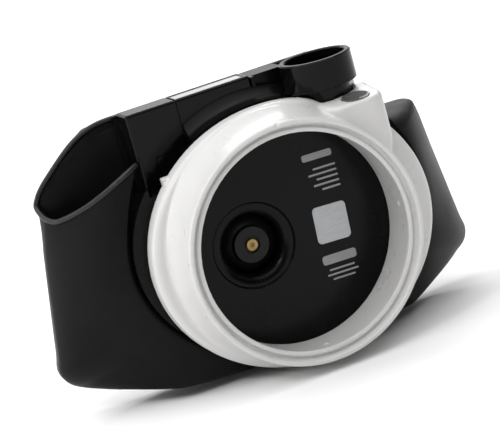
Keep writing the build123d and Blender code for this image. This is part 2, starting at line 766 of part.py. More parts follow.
def front_outline(inset):
    """Front view of the cover's low front: rim rising to the battery, arched lower edge."""
    bottom = -82 + inset
    outline = polygon(
        (-170, -27),
        (-170, 64),
        (-145, 62),
        (-137.5, 48),
        (-126, 50.5),
        (-112, 57.5),
        (-99, 64.5),
        (-81, 72.5),
        (-60, 72.5),
        (60, 50 - inset),
        (110, 49 - inset),
        (127, 43 - inset),
        (170, 22 - inset),
        (170, -7.5),
        (140.5 - inset, -60 + inset),
        (131, -66 + inset),
        (60, bottom + 2.5),
        (COVER_X, bottom),
        (-73, bottom + 2.5),
        (-144, -66 + inset),
        (-153.5 + inset, -60 + inset),
    )
    return fillet(outline.vertices(), OUTLINE_R)


def cover_front():
    """Front skin with the folds at both ends, open at the top left, closed at the top right."""
    outer = pouch(0, -90, 110) & slab(front_outline(0), 30, 130)
    inner = pouch(COVER_SKIN, -90, 112) & slab(front_outline(COVER_SKIN), 30, 130)
    open_top = pouch(COVER_SKIN, -90, 112) & block((-170, 82), (30, 130), (40, 112))
    skin = outer - inner - open_top
    skin = skin - pad_region(-0.05, 200)
    hole = slab(Pos(0, DRUM_Z) * Ellipse(DRUM_A + 0.6, DRUM_B + 0.6), 0, 80)
    hole += block((PACK_X[0] - 2.7, 82), (0, 82.4), (40, 120))
    hole += slab(skirt_outline(0), 0, PARTING + FLANGE_THICK + 0.3)
    return skin - hole


def pad_outline():
    """Front view of the back pad: tall at the left, low at the right, flat at the bottom."""
    outline = polygon(
        (-170, 58.5),
        (-140, 58.5),
        (-133, 70.5),
        (-114, 86.5),
        (-101, 96),
        (-93, PAD_TOP - 1),
        (-84, PAD_TOP),
        (70, PAD_TOP),
        (84, 50),
        (112, 49.5),
        (127, 44.5),
        (170, 28),
        (170, -15.5),
        (135, -68),
        (112, STAND_Z + 7),
        (80, STAND_Z),
        (-93, STAND_Z),
        (-125, STAND_Z + 7),
        (-148, -68),
        (-170, -35),
    )
    return fillet(outline.vertices(), OUTLINE_R)


def back_pad():
    """Thick padded wall that bends round the wearer's back."""
    pad = pad_region(0, PAD_THICK) & slab(pad_outline(), 40, 140)
    return pad & pouch(0, -90, 112)


def belt_loop(x):
    """Webbing loop sewn to the pad's back, standing off it by the belt's thickness."""
    back = pad_curve(x) + PAD_THICK
    height = LOOP_HALF_HEIGHT
    outer = [(back - 4, -height), (back + LOOP_THICK, -height), (back + LOOP_GAP + LOOP_THICK, -height + 8)]
    outer += [(y, -z) for y, z in reversed(outer)]
    inner = [(back - 5, -height + 10), (back + LOOP_GAP, -height + 10)]
    inner += [(y, -z) for y, z in reversed(inner)]
    profile = polygon(*outer) - polygon(*inner)
    solid = Pos(x - LOOP_WIDTH / 2, 0, 0) * extrude(Plane.YZ * profile, amount=LOOP_WIDTH)
    return solid - pad_region(-20, PAD_THICK)


PARTS = {
    "front_casing": front_casing,
    "inlet_plate": inlet_plate,
    "cup_gasket": cup_gasket,
    "volute_body": volute,
    "impeller": impeller,
    "impeller_bush": impeller_bush,
    "motor_shaft": motor_shaft,
    "motor_can": motor_can,
    "motor_stator": motor_stator,
    "rotor_magnet": rotor_magnet,
    "front_bearing": lambda: bearing(MOTOR_FRONT),
    "rear_bearing": lambda: bearing(MOTOR_BACK - 2.6),
    "motor_mount": motor_mount,
    "hose_socket": hose_socket,
    "socket_seal": socket_seal,
    "socket_key": socket_key,
    "rear_housing": rear_housing,
    "battery_case": battery_case,
    "battery_cells": battery_cells,
    "battery_latch": battery_latch,
    "latch_spring": latch_spring,
    "gauge_window": gauge_window,
    "pack_contacts": lambda: terminal_strip(PACK_Z[0], PACK_Z[0] + PACK_WALL),
    "bay_contacts": lambda: terminal_strip(PACK_Z[0] - 2.3, PACK_Z[0] - 0.1),
    "power_button": power_button,
    "power_switch": power_switch,
    "control_board": control_board,
    "board_screws": board_screws,
    "casing_screws": casing_screws,
    "rating_label": rating_label,
    "cover_front": cover_front,
    "back_pad": back_pad,
    "belt_loop_left": lambda: belt_loop(COVER_X - LOOP_X),
    "belt_loop_right": lambda: belt_loop(COVER_X + LOOP_X),
}

os.makedirs("parts", exist_ok=True)
for name, make in PARTS.items():
    export_step(make(), os.path.join("parts", name + ".step"))
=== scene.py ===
import math

import bmesh
import bpy
from mathutils import Matrix, Vector, noise


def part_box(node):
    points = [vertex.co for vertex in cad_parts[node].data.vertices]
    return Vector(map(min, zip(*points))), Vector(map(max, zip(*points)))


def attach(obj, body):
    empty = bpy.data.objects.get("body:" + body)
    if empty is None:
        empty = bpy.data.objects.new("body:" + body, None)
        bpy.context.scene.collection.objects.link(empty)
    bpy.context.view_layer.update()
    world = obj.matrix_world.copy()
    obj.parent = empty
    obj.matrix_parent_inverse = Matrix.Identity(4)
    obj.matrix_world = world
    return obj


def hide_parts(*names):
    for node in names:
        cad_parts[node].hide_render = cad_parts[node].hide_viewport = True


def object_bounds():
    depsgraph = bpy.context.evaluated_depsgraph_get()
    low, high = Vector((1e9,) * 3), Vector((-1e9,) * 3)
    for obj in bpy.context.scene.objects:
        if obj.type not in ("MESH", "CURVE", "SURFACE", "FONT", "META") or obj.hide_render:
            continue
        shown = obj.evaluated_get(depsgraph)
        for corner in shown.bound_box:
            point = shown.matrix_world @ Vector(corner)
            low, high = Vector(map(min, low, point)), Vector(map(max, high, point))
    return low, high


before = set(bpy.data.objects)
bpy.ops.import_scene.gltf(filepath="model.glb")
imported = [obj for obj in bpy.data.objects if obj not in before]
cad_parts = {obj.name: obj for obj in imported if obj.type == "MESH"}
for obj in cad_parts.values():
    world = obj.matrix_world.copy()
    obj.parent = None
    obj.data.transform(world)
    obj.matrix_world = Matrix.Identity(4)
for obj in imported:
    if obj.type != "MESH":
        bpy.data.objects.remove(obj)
cad_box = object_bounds()
MM = 0.001

# ---------------------------------------------------------------- places read from the frame

FLANGE_HALF_X = 101.5 * MM
FLANGE_HALF_Z = 82.4 * MM
FLANGE_Z = 7.0 * MM
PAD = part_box("back_pad")
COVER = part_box("cover_front")
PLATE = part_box("inlet_plate")
FLOOR_Z = cad_box[0].z
LIP_Y = COVER[0].y + 1.0 * MM
COVER_X = -6.5 * MM
COVER_HALF = 142.0 * MM
COVER_LEAN = 0.156
LEFT_END_TOP = 60 * MM
RIGHT_END_TOP = 37 * MM
END_FOOT = -42 * MM


def cover_edge_x(side, z):
    """X of the cover's leaning end at a height; side is -1 for the left and 1 for the right."""
    return COVER_X + side * (COVER_HALF - COVER_LEAN * z)


def pad_front_y(x):
    """Depth of the back pad's front face."""
    return 82.5 * MM + (x - COVER_X) ** 2 / 1.306


# ---------------------------------------------------------------- node helpers


def new_material(name):
    material = bpy.data.materials.new(name)
    material.use_nodes = True
    tree = material.node_tree
    tree.nodes.clear()
    output = tree.nodes.new("ShaderNodeOutputMaterial")
    shader = tree.nodes.new("ShaderNodeBsdfPrincipled")
    tree.links.new(shader.outputs["BSDF"], output.inputs["Surface"])
    return material, tree, shader


def object_coordinates(tree, scale=(1, 1, 1)):
    coordinates = tree.nodes.new("ShaderNodeTexCoord")
    mapping = tree.nodes.new("ShaderNodeMapping")
    mapping.inputs["Scale"].default_value = scale
    tree.links.new(coordinates.outputs["Object"], mapping.inputs["Vector"])
    return mapping.outputs["Vector"]


def noise_node(tree, vector, scale, detail=3.0, roughness=0.5):
    node = tree.nodes.new("ShaderNodeTexNoise")
    node.inputs["Scale"].default_value = scale
    node.inputs["Detail"].default_value = detail
    node.inputs["Roughness"].default_value = roughness
    tree.links.new(vector, node.inputs["Vector"])
    return node.outputs["Fac"]


def remap(tree, value, low, high, from_low=0.0, from_high=1.0):
    node = tree.nodes.new("ShaderNodeMapRange")
    node.inputs["From Min"].default_value = from_low
    node.inputs["From Max"].default_value = from_high
    node.inputs["To Min"].default_value = low
    node.inputs["To Max"].default_value = high
    tree.links.new(value, node.inputs["Value"])
    return node.outputs["Result"]


def math_node(tree, operation, first, second):
    node = tree.nodes.new("ShaderNodeMath")
    node.operation = operation
    for index, value in enumerate((first, second)):
        if isinstance(value, (int, float)):
            node.inputs[index].default_value = value
        else:
            tree.links.new(value, node.inputs[index])
    return node.outputs["Value"]


def color_ramp(tree, value, dark, light, low=0.0, high=1.0):
    node = tree.nodes.new("ShaderNodeValToRGB")
    node.color_ramp.elements[0].position = low
    node.color_ramp.elements[1].position = high
    node.color_ramp.elements[0].color = (*dark, 1)
    node.color_ramp.elements[1].color = (*light, 1)
    tree.links.new(value, node.inputs["Fac"])
    return node.outputs["Color"]


def bump(tree, shader, height, strength, distance):
    node = tree.nodes.new("ShaderNodeBump")
    node.inputs["Strength"].default_value = strength
    node.inputs["Distance"].default_value = distance
    tree.links.new(height, node.inputs["Height"])
    tree.links.new(node.outputs["Normal"], shader.inputs["Normal"])


def moulded_plastic(name, dark, light, gloss, texture=0.08, specular=0.5, coat=0.0):
    """Injection-moulded plastic: faint cloudy colour, uneven gloss and a fine spark texture."""
    material, tree, shader = new_material(name)
    vector = object_coordinates(tree)
    cloud = noise_node(tree, vector, 28, 4, 0.6)
    tree.links.new(color_ramp(tree, cloud, dark, light, 0.35, 0.65), shader.inputs["Base Color"])
    smudge = noise_node(tree, vector, 55, 6, 0.65)
    tree.links.new(remap(tree, smudge, *gloss, 0.35, 0.7), shader.inputs["Roughness"])
    grain = noise_node(tree, vector, 1400, 2, 0.5)
    wave = noise_node(tree, vector, 60, 2, 0.4)
    height = math_node(tree, "ADD", grain, math_node(tree, "MULTIPLY", wave, 2.0))
    bump(tree, shader, height, texture, 0.0002)
    shader.inputs["Specular IOR Level"].default_value = specular
    if coat:
        shader.inputs["Coat Weight"].default_value = coat
        shader.inputs["Coat Roughness"].default_value = 0.08
    return material


def leather_material(name, gloss, specular):
    """Soft black leatherette: pebbled grain, fine creases and a low, uneven sheen."""
    material, tree, shader = new_material(name)
    vector = object_coordinates(tree)
    cells = tree.nodes.new("ShaderNodeTexVoronoi")
    cells.feature = "DISTANCE_TO_EDGE"
    cells.inputs["Scale"].default_value = 900
    cells.inputs["Randomness"].default_value = 1.0
    warped = tree.nodes.new("ShaderNodeVectorMath")
    warped.operation = "ADD"
    warp = tree.nodes.new("ShaderNodeTexNoise")
    warp.inputs["Scale"].default_value = 400
    scaled = tree.nodes.new("ShaderNodeVectorMath")
    scaled.operation = "SCALE"
    scaled.inputs["Scale"].default_value = 0.0012
    tree.links.new(vector, warp.inputs["Vector"])
    tree.links.new(warp.outputs["Color"], scaled.inputs[0])
    tree.links.new(vector, warped.inputs[0])
    tree.links.new(scaled.outputs["Vector"], warped.inputs[1])
    tree.links.new(warped.outputs["Vector"], cells.inputs["Vector"])
    pebble = remap(tree, cells.outputs["Distance"], 0.0, 1.0, 0.0, 0.12)
    crease = noise_node(tree, vector, 130, 5, 0.6)
    fold = noise_node(tree, vector, 35, 3, 0.5)
    height = math_node(tree, "ADD", pebble, math_node(tree, "MULTIPLY", crease, 1.6))
    height = math_node(tree, "ADD", height, math_node(tree, "MULTIPLY", fold, 2.0))
    bump(tree, shader, height, 0.22, 0.00035)
    worn = noise_node(tree, vector, 22, 5, 0.6)
    tree.links.new(
        color_ramp(tree, worn, (0.0034, 0.0034, 0.0037), (0.006, 0.006, 0.0065), 0.35, 0.7),
        shader.inputs["Base Color"],
    )
    tree.links.new(remap(tree, worn, gloss[0], gloss[1], 0.3, 0.7), shader.inputs["Roughness"])
    shader.inputs["Specular IOR Level"].default_value = specular
    return material


def webbing_material():
    """Woven black webbing: crossed ribs with thread-to-thread colour change."""
    material, tree, shader = new_material("webbing_weave")
    vector = object_coordinates(tree)
    ribs = []
    for direction in ("X", "Z"):
        wave = tree.nodes.new("ShaderNodeTexWave")
        wave.bands_direction = direction
        wave.inputs["Scale"].default_value = 320
        wave.inputs["Distortion"].default_value = 0.6
        tree.links.new(vector, wave.inputs["Vector"])
        ribs.append(wave.outputs["Fac"])
    height = math_node(tree, "MULTIPLY", ribs[0], ribs[1])
    threads = math_node(tree, "ADD", height, noise_node(tree, vector, 700, 2, 0.5))
    tree.links.new(
        color_ramp(tree, threads, (0.006, 0.006, 0.007), (0.03, 0.03, 0.033), 0.2, 1.2),
        shader.inputs["Base Color"],
    )
    bump(tree, shader, height, 0.6, 0.0005)
    shader.inputs["Roughness"].default_value = 0.85
    shader.inputs["Sheen Weight"].default_value = 0.08
    return material


def metal_material(name, dark, light, gloss, rings=None):
    """Metal with fine turning or rolling marks; rings is the centre line's (x, z) if turned."""
    material, tree, shader = new_material(name)
    vector = object_coordinates(tree)
    if rings:
        centred = tree.nodes.new("ShaderNodeMapping")
        centred.inputs["Location"].default_value = (-rings[0], 0, -rings[1])
        tree.links.new(vector, centred.inputs["Vector"])
        marks = tree.nodes.new("ShaderNodeTexWave")
        marks.wave_type = "RINGS"
        marks.rings_direction = "Y"
        marks.inputs["Scale"].default_value = 380
        marks.inputs["Distortion"].default_value = 0.4
        tree.links.new(centred.outputs["Vector"], marks.inputs["Vector"])
        height = marks.outputs["Fac"]
    else:
        height = noise_node(tree, object_coordinates(tree, (1, 1, 18)), 500, 3, 0.6)
    stain = noise_node(tree, vector, 260, 4, 0.6)
    tree.links.new(color_ramp(tree, stain, dark, light, 0.3, 0.7), shader.inputs["Base Color"])
    tree.links.new(remap(tree, stain, *gloss), shader.inputs["Roughness"])
    bump(tree, shader, height, 0.15, 0.0001)
    shader.inputs["Metallic"].default_value = 1.0
    return material


def board_material():
    """Solder-masked board with faint copper tracks under the green."""
    material, tree, shader = new_material("board_mask")
    vector = object_coordinates(tree)
    tracks = tree.nodes.new("ShaderNodeTexBrick")
    tracks.inputs["Scale"].default_value = 160
    tracks.inputs["Mortar Size"].default_value = 0.03
    tracks.inputs["Color1"].default_value = (0.01, 0.09, 0.04, 1)
    tracks.inputs["Color2"].default_value = (0.012, 0.11, 0.05, 1)
    tracks.inputs["Mortar"].default_value = (0.03, 0.2, 0.09, 1)
    tree.links.new(vector, tracks.inputs["Vector"])
    tree.links.new(tracks.outputs["Color"], shader.inputs["Base Color"])
    bump(tree, shader, tracks.outputs["Fac"], 0.2, 0.0001)
    shader.inputs["Roughness"].default_value = 0.35
    return material


def label_material(name, dark, light):
    """Metallised paper label with a brushed, slightly patchy face."""
    material, tree, shader = new_material(name)
    streaks = noise_node(tree, object_coordinates(tree, (60, 1, 900)), 2.0, 3, 0.6)
    tree.links.new(color_ramp(tree, streaks, dark, light, 0.3, 0.7), shader.inputs["Base Color"])
    tree.links.new(remap(tree, streaks, 0.35, 0.5), shader.inputs["Roughness"])
    bump(tree, shader, streaks, 0.05, 0.0001)
    shader.inputs["Metallic"].default_value = 0.3
    return material


BLOWER_AXIS = (-0.023, 0.0)
WHITE = moulded_plastic("white_satin", (0.590, 0.586, 0.577), (0.610, 0.606, 0.598), (0.27, 0.31), 0.015, 0.4)
DEEP_BLACK = ((0.0018, 0.0018, 0.002), (0.003, 0.003, 0.0033))
BLACK_GLOSS = moulded_plastic("black_gloss", *DEEP_BLACK, (0.1, 0.17), 0.02, 0.14)
BLACK_MOULDED = moulded_plastic("black_moulded", *DEEP_BLACK, (0.24, 0.34), 0.03, 0.12)
BLACK_SATIN = moulded_plastic(
    "black_satin", (0.003, 0.003, 0.0033), (0.005, 0.005, 0.0054), (0.3, 0.42), 0.1, 0.2
)
INLET_BLACK = moulded_plastic(
    "inlet_black", (0.0018, 0.0018, 0.002), (0.003, 0.003, 0.0032), (0.2, 0.3), 0.03, 0.12
)
INNER_GREY = moulded_plastic("inner_grey", (0.03, 0.03, 0.032), (0.045, 0.045, 0.047), (0.45, 0.6), 0.2)
RUBBER = moulded_plastic("seal_rubber", (0.012, 0.012, 0.012), (0.02, 0.02, 0.02), (0.7, 0.85), 0.3)
BUTTON = moulded_plastic(
    "button_gloss", (0.10, 0.10, 0.104), (0.14, 0.14, 0.145), (0.1, 0.16), 0.02, 1.0, 1.0
)
# Gauge strip: its light grey base colour is partly the strip's own grey and partly a painted reflection of
# the bright surroundings on the battery's top.
GAUGE_PAINTED_SHINE = moulded_plastic("gauge_strip_painted_shine", (0.36, 0.38, 0.37), (0.54, 0.57, 0.555), (0.12, 0.2), 0.03, coat=0.5)
CELL = moulded_plastic("cell_wrap", (0.02, 0.07, 0.2), (0.03, 0.1, 0.28), (0.3, 0.4), 0.05)
BRASS = metal_material("turned_brass", (0.22, 0.13, 0.04), (0.42, 0.27, 0.09), (0.3, 0.45), BLOWER_AXIS)
# Shaft: base colour darkened far below bare steel, as painted shade where the shaft's end sits deep in the
# bush's bore.
SHAFT_PAINTED_SHADE = metal_material("steel_painted_shade", (0.10, 0.10, 0.105), (0.16, 0.16, 0.165), (0.35, 0.5))
STEEL = metal_material("bright_steel", (0.5, 0.5, 0.51), (0.66, 0.66, 0.67), (0.25, 0.4))
CAN = metal_material("motor_can", (0.3, 0.3, 0.31), (0.4, 0.4, 0.41), (0.35, 0.5))
COPPER = metal_material("copper_winding", (0.4, 0.16, 0.07), (0.62, 0.28, 0.14), (0.3, 0.45))
MAGNET = metal_material("ferrite", (0.08, 0.08, 0.085), (0.12, 0.12, 0.125), (0.5, 0.65))
CONTACT = metal_material("contact_gold", (0.62, 0.42, 0.14), (0.8, 0.58, 0.24), (0.2, 0.35))
LEATHER = leather_material("leatherette", (0.34, 0.46), 0.095)
WORN_EDGE = leather_material("leatherette_worn_edge", (0.26, 0.36), 0.42)
WEBBING = webbing_material()
BOARD = board_material()
LABEL = label_material("label_silver", (0.36, 0.37, 0.38), (0.47, 0.48, 0.49))
PRINT = label_material("print_grey", (0.22, 0.22, 0.225), (0.28, 0.28, 0.285))

NODE_MATERIALS = {
    WHITE: ["front_casing"],
    BLACK_GLOSS: ["battery_case", "battery_latch", "hose_socket"],
    BLACK_MOULDED: ["rear_housing"],
    BLACK_SATIN: ["impeller", "power_switch"],
    INLET_BLACK: ["inlet_plate"],
    INNER_GREY: ["volute_body"],
    RUBBER: ["cup_gasket", "socket_seal", "motor_mount"],
    BUTTON: ["power_button"],
    GAUGE_PAINTED_SHINE: ["gauge_window"],
    CELL: ["battery_cells"],
    BRASS: ["impeller_bush"],
    SHAFT_PAINTED_SHADE: ["motor_shaft"],
    STEEL: ["front_bearing", "rear_bearing", "latch_spring", "board_screws", "casing_screws", "socket_key"],
    CAN: ["motor_can"],
    COPPER: ["motor_stator"],
    MAGNET: ["rotor_magnet"],
    CONTACT: ["pack_contacts", "bay_contacts"],
    LEATHER: ["cover_front", "back_pad"],
    WEBBING: ["belt_loop_left", "belt_loop_right"],
    BOARD: ["control_board"],
    LABEL: ["rating_label"],
}


def paint_nodes():
    for material, names in NODE_MATERIALS.items():
        for name in names:
            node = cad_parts[name]
            node.data.materials.clear()
            node.data.materials.append(material)


# ---------------------------------------------------------------- mesh helpers


def mesh_object(name, vertices, faces, material, smooth=True):
    mesh = bpy.data.meshes.new(name)
    mesh.from_pydata([tuple(v) for v in vertices], [], faces)
    mesh.validate()
    obj = bpy.data.objects.new(name, mesh)
    bpy.context.scene.collection.objects.link(obj)
    mesh.materials.append(material)
    for polygon in mesh.polygons:
        polygon.use_smooth = smooth
    return obj


def apply_modifiers(obj):
    """Replace the object's mesh by its evaluated one."""
    depsgraph = bpy.context.evaluated_depsgraph_get()
    made = bpy.data.meshes.new_from_object(obj.evaluated_get(depsgraph))
    obj.modifiers.clear()
    obj.data = made
    return obj


def bezier(points, t):
    """Point on a cubic Bezier curve."""
    a, b, c, d = points
    s = 1 - t
    return a * s**3 + b * (3 * s * s * t) + c * (3 * s * t * t) + d * t**3


def catmull(points, t):
    """Point on a smooth curve through the given points, with t from 0 to 1."""
    spans = len(points) - 1
    place = min(max(t, 0.0), 1.0) * spans
    index = min(int(place), spans - 1)
    u = place - index
    p1, p2 = points[index], points[index + 1]
    p0 = points[index - 1] if index else p1 * 2 - p2
    p3 = points[index + 2] if index + 2 < len(points) else p2 * 2 - p1
    return 0.5 * (
        p1 * 2 + (p2 - p0) * u + (p0 * 2 - p1 * 5 + p2 * 4 - p3) * u**2 + (p1 * 3 - p0 - p2 * 3 + p3) * u**3
    )


def even_path(points, count):
    """Points spaced evenly along the smooth curve through the given points."""
    fine = [catmull(points, i / 400) for i in range(401)]
    lengths = [0.0]
    for a, b in zip(fine, fine[1:]):
        lengths.append(lengths[-1] + (b - a).length)
    result, j = [], 0
    for i in range(count):
        target = lengths[-1] * i / (count - 1)
        while j < 399 and lengths[j + 1] < target:
            j += 1
        span = max(lengths[j + 1] - lengths[j], 1e-12)
        result.append(fine[j].lerp(fine[j + 1], (target - lengths[j]) / span))
    return result


def tube(name, points, radius, material, sides=12):
    """Round tube with domed ends along a list of points."""
    vertices, faces = [], []
    normal = Vector((0, -1, 0.2))
    last = len(points) - 1
    for index, point in enumerate(points):
        ahead = (points[min(index + 1, last)] - points[max(index - 1, 0)]).normalized()
        side = ahead.cross(normal).normalized()
        normal = side.cross(ahead).normalized()
        shrink = 0.35 if index in (0, last) else 1.0
        for k in range(sides):
            angle = 2 * math.pi * k / sides
            spread = side * math.cos(angle) + normal * math.sin(angle)
            vertices.append(point + spread * radius * shrink)
    for index in range(last):
        for k in range(sides):
            a = index * sides + k
            b = index * sides + (k + 1) % sides
            faces.append((a, b, b + sides, a + sides))
    faces.append(tuple(range(sides - 1, -1, -1)))
    faces.append(tuple(last * sides + k for k in range(sides)))
    return mesh_object(name, vertices, faces, material)


# ---------------------------------------------------------------- the cover's front skin

RIM_TUCK = [Vector(p) * MM for p in ((-79.2, 60.0, 69.0), (-79.0, 54.5, 71.0), (-79.6, 49.5, 72.4))]
RIM_POINTS = [
    Vector(p) * MM
    for p in (
        (-81.6, 45.8, 72.8),
        (-86.0, 45.2, 71.0),
        (-92.0, 45.9, 68.3),
        (-99.5, 47.5, 64.3),
        (-107.5, 51.5, 60.0),
        (-116.4, 58.5, 55.0),
        (-124.6, 66.5, 51.2),
        (-130.5, 73.0, 49.0),
        (-135.6, 79.5, 48.2),
        (-139.2, 86.0, 51.0),
        (-140.4, 93.5, 56.0),
    )
]
ROWS_FRONT = 30
ROWS_BACK = 8
OUTLINE_STEPS = 200
BLENDED_COLUMNS = 26
SKIN_THICK = 2.6 * MM
SKIN_ROUND = 0.9 * MM


def leaning_end(side, start_z, end_z, steps):
    """Silhouette points down or up one of the cover's leaning ends, in metres."""
    heights = [start_z + (end_z - start_z) * i / steps for i in range(steps + 1)]
    return [Vector((cover_edge_x(side, z), 0, z)) for z in heights]


UNDERSIDE = (
    (-157, -52), (-153.5, -60), (-146, -65.5), (-134, -69.3), (-117, -73.2), (-95, -77.2),
    (-60, -80.6), (-6.5, -82), (47, -80.6), (82, -77.2), (104, -73.0), (121, -69.0),
    (133, -65.0), (140.5, -60), (143.8, -52),
)
RIGHT_SHOULDER = (
    (127.6, 44.6), (126.2, 46.9), (122.5, 47.8), (114, 48.4), (102, 49.0), (85, 49.6),
)


def outline_points():
    """The cover's silhouette seen from the front, from the left end's top round to the right's."""
    underside = [Vector((x, 0, z)) * MM for x, z in UNDERSIDE]
    shoulder = [Vector((x, 0, z)) * MM for x, z in RIGHT_SHOULDER]
    left_end = leaning_end(-1, LEFT_END_TOP, END_FOOT, 8)
    right_end = leaning_end(1, END_FOOT, RIGHT_END_TOP, 6)
    return left_end + underside + right_end + shoulder


def edge_depth(point):
    """Depth at which the skin turns back, for a place on the silhouette."""
    reach = max(abs(point.x - COVER_X) - 84 * MM, 0)
    depth = 51 * MM + reach * 0.75
    if point.x > 0 and point.z > 44 * MM:
        depth = max(depth, 77 * MM)
    return min(depth, 93 * MM)


def beside_flange(outline, gap, y):
    """A place beside the flange, in the direction of a silhouette point."""
    angle = math.atan2((outline.z - FLANGE_Z) / FLANGE_HALF_Z, outline.x / FLANGE_HALF_X)
    x = (FLANGE_HALF_X + gap) * math.cos(angle)
    z = FLANGE_Z + (FLANGE_HALF_Z + gap) * math.sin(angle)
    return Vector((x, y, z))


def skin_column(outline):
    """Points of one strip of the skin, from behind the flange out to the edge and back."""
    tuck = [
        beside_flange(outline, -3.0 * MM, LIP_Y + 6.0 * MM),
        beside_flange(outline, -0.6 * MM, LIP_Y + 3.0 * MM),
        beside_flange(outline, 1.2 * MM, LIP_Y + 0.9 * MM),
    ]
    lip = beside_flange(outline, 3.4 * MM, LIP_Y)
    edge = Vector((outline.x, edge_depth(outline), outline.z))
    outward = Vector((edge.x - lip.x, 0, edge.z - lip.z))
    span = outward.length
    outward = outward.normalized()
    drop = edge.y - lip.y
    flank = [
        lip,
        lip + outward * span * 0.34 + Vector((0, drop * 0.13, 0)),
        edge - Vector((0, drop * 0.34, 0)) - outward * span * 0.08,
        edge,
    ]
    points = tuck + [bezier(flank, i / (ROWS_FRONT - 4)) for i in range(ROWS_FRONT - 3)]
    back_y = pad_front_y(outline.x) + 6.5 * MM
    far = Vector((edge.x, max(back_y, edge.y + 4 * MM), edge.z)) - outward * 3.0 * MM
    turn = Vector((far.x, far.y - 2.5 * MM, far.z)) + outward * 3.0 * MM
    wrap = [edge, edge.lerp(turn, 0.5), turn, far]
    points += [bezier(wrap, (i + 1) / ROWS_BACK) for i in range(ROWS_BACK)]
    return points


def rim_column():
    """The pocket's cut edge, as one more strip."""
    front = RIM_TUCK + even_path(RIM_POINTS[:-1], ROWS_FRONT - 3)
    back = even_path(RIM_POINTS[-2:], ROWS_BACK + 1)[1:]
    return front + back


def crease_offset(point):
    """Small soft undulations of the stretched skin, longer up and down than across."""
    place = Vector((point.x * 26, point.y * 20, point.z * 9))
    fold = noise.noise(place) * 1.1 * MM
    fine = noise.noise(point * 45 + Vector((3, 1, 7))) * 0.25 * MM
    return fold + fine


def build_cover_front():
    outline = even_path(outline_points(), OUTLINE_STEPS)
    standard = [skin_column(p) for p in outline]
    start = next(i for i, p in enumerate(outline) if p.z < 26 * MM)
    rim = rim_column()
    columns = []
    for i in range(BLENDED_COLUMNS):
        share = i / BLENDED_COLUMNS
        bow = math.sin(share * math.pi) * -3.0 * MM
        strip = []
        for row, (a, b) in enumerate(zip(rim, standard[start])):
            point = a.lerp(b, share)
            point.x += bow * max(0.0, 1 - row / 10)
            strip.append(point)
        columns.append(strip)
    columns += standard[start:]
    rows = len(columns[0])
    vertices = [p for column in columns for p in column]
    faces = []
    for c in range(len(columns) - 1):
        for r in range(rows - 1):
            a = c * rows + r
            faces.append((a, a + rows, a + rows + 1, a + 1))
    obj = mesh_object("cover_front_skin", vertices, faces, LEATHER)
    bm = bmesh.new()
    bm.from_mesh(obj.data)
    bmesh.ops.recalc_face_normals(bm, faces=bm.faces)
    bm.normal_update()
    facing = sum(f.normal.y * f.calc_area() for f in bm.faces)
    if facing > 0:
        bmesh.ops.reverse_faces(bm, faces=bm.faces)
        bm.normal_update()
    for index, vertex in enumerate(bm.verts):
        row = index % rows
        hold = min(1.0, row / 8) * min(1.0, max(0, rows - ROWS_BACK - 2 - row) / 8)
        vertex.co += vertex.normal * crease_offset(vertex.co) * hold
    bm.to_mesh(obj.data)
    bm.free()
    solid = obj.modifiers.new("thickness", "SOLIDIFY")
    solid.thickness = SKIN_THICK
    solid.offset = -1.0
    solid.use_even_offset = True
    rounding = obj.modifiers.new("rounding", "BEVEL")
    rounding.width = SKIN_ROUND
    rounding.segments = 3
    rounding.limit_method = "ANGLE"
    rounding.angle_limit = math.radians(50)
    apply_modifiers(obj)
    for polygon in obj.data.polygons:
        polygon.use_smooth = True
    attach(obj, "unit")
    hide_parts("cover_front")
    return obj, rim


# ---------------------------------------------------------------- the back pad


def copy_of(node, name, material):
    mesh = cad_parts[node].data.copy()
    mesh.materials.clear()
    mesh.materials.append(material)
    obj = bpy.data.objects.new(name, mesh)
    bpy.context.scene.collection.objects.link(obj)
    return obj


def remesh(obj, voxel):
    modifier = obj.modifiers.new("remesh", "REMESH")
    modifier.mode = "VOXEL"
    modifier.voxel_size = voxel
    apply_modifiers(obj)


def smooth(obj, factor, repeats):
    modifier = obj.modifiers.new("smooth", "SMOOTH")
    modifier.factor = factor
    modifier.iterations = repeats
    apply_modifiers(obj)


def inflate(obj, cap):
    """Puff the pad with a short cloth simulation, and hold each point near where it began."""
    before = [v.co.copy() for v in obj.data.vertices]
    scene = bpy.context.scene
    cloth = obj.modifiers.new("cloth", "CLOTH")
    cloth.settings.use_pressure = True
    cloth.settings.uniform_pressure_force = 4.0
    cloth.settings.effector_weights.gravity = 0.0
    cloth.settings.quality = 5
    cloth.point_cache.frame_start = 1
    cloth.point_cache.frame_end = 20
    for step in range(1, 21):
        scene.frame_set(step)
    apply_modifiers(obj)
    scene.frame_set(1)
    for vertex, start in zip(obj.data.vertices, before):
        move = vertex.co - start
        if move.length > cap:
            vertex.co = start + move.normalized() * cap


PAD_VOXEL = 3.0 * MM
PAD_SWELL = 2.0 * MM
CHANNEL_X = (-112 * MM, -38 * MM, 25 * MM, 99 * MM)
CHANNEL_WIDTH = 2.2 * MM
CHANNEL_DEPTH = 2.2 * MM


def channel_depth(point):
    """How far the sewn channels pull the pad's back in at a place."""
    pull = 0.0
    for x in CHANNEL_X:
        pull = max(pull, math.exp(-(((point.x - x) / CHANNEL_WIDTH) ** 2)))
    return pull * CHANNEL_DEPTH


